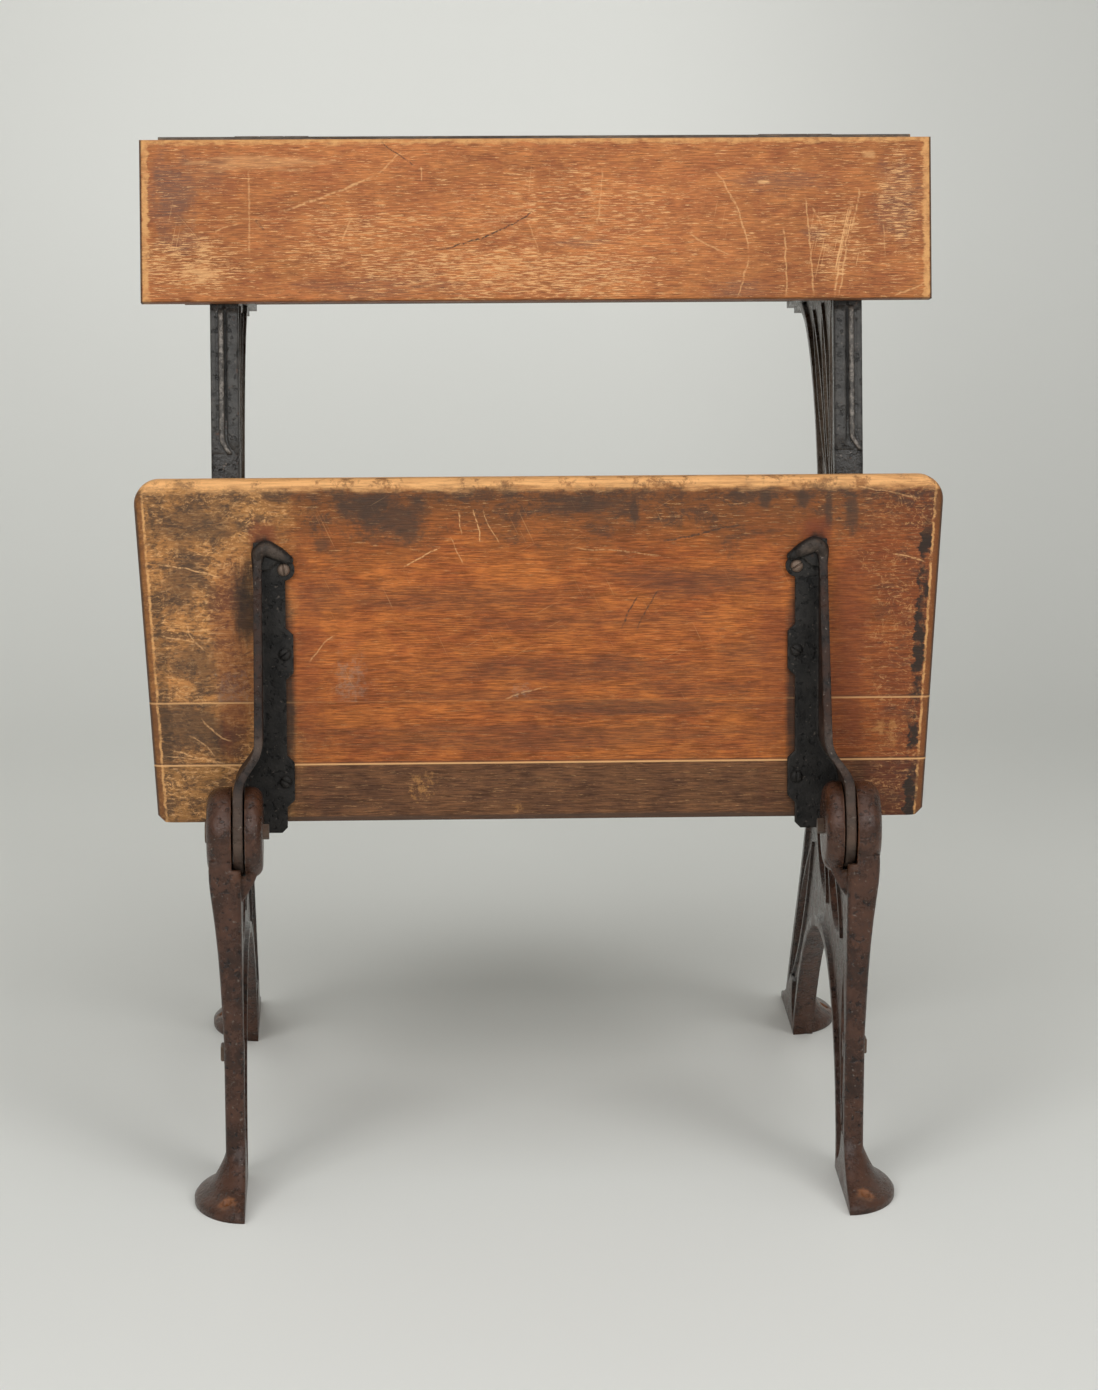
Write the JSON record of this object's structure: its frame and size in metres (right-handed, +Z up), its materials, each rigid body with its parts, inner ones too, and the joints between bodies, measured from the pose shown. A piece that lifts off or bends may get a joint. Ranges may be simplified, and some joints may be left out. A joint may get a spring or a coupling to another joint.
{
  "type": "school desk",
  "caption": "School desk on cast-iron standards: tilted wooden book box with a lift lid, leaning front board as backrest and a wooden seat that folds up on pivots.",
  "frame": {"origin": "centre of the bounding box on the floor", "axes": "+Z up; -Y towards the person on the fold-up seat; +X to the right seen from that side"},
  "size_m": [0.5936, 0.5614, 0.7611],
  "materials": {
    "standard_iron": "old dark paint, worn to grey on ridges, rusty at the feet",
    "arm_iron": "old black paint, worn grey on the edges",
    "fastener_steel": "dull, rust-browned",
    "front_wood": "worn orange-brown varnish",
    "seat_wood": "worn red-brown varnish, dark at the edges",
    "box_wood": "darkened varnish"
  },
  "bodies": {
    "frame": {"standard_left": "standard_iron", "standard_right": "standard_iron", "pivot_bolts": "fastener_steel", "pivot_nuts": "fastener_steel", "leg_bolts": "fastener_steel", "front_board": "front_wood", "front_board_screws": "fastener_steel", "arm_screws": "fastener_steel", "box_bottom": "box_wood", "box_end_left": "box_wood", "box_end_right": "box_wood", "box_rear_board": "box_wood", "box_screws": "fastener_steel", "hinge_rail": "box_wood", "hinge_rail_leaf_left": "fastener_steel", "hinge_rail_leaf_right": "fastener_steel", "hinge_rail_screws": "fastener_steel", "hinge_pins": "fastener_steel"},
    "seat": {"seat_board_rear": "seat_wood", "seat_board_middle": "seat_wood", "seat_board_front": "seat_wood", "seat_arm_left": "arm_iron", "seat_arm_right": "arm_iron", "seat_screws": "fastener_steel"},
    "lid": {"lid_board_front": "box_wood", "lid_board_middle": "box_wood", "lid_board_rear": "box_wood", "lid_batten_left": "box_wood", "lid_batten_right": "box_wood", "batten_screws": "fastener_steel", "hinge_lid_leaf_left": "fastener_steel", "hinge_lid_leaf_right": "fastener_steel", "hinge_lid_screws": "fastener_steel"}
  },
  "joints": [
    {"name": "seat_fold", "type": "hinge", "parent": "frame", "child": "seat", "pos_m": [0, -0.20272, 0.273], "axis": [1, 0, 0], "range_deg": [0, 90]},
    {"name": "lid_lift", "type": "hinge", "parent": "frame", "child": "lid", "pos_m": [0, -0.02028, 0.75563], "axis": [1, 0, 0], "range_deg": [0, 105]}
  ]
}
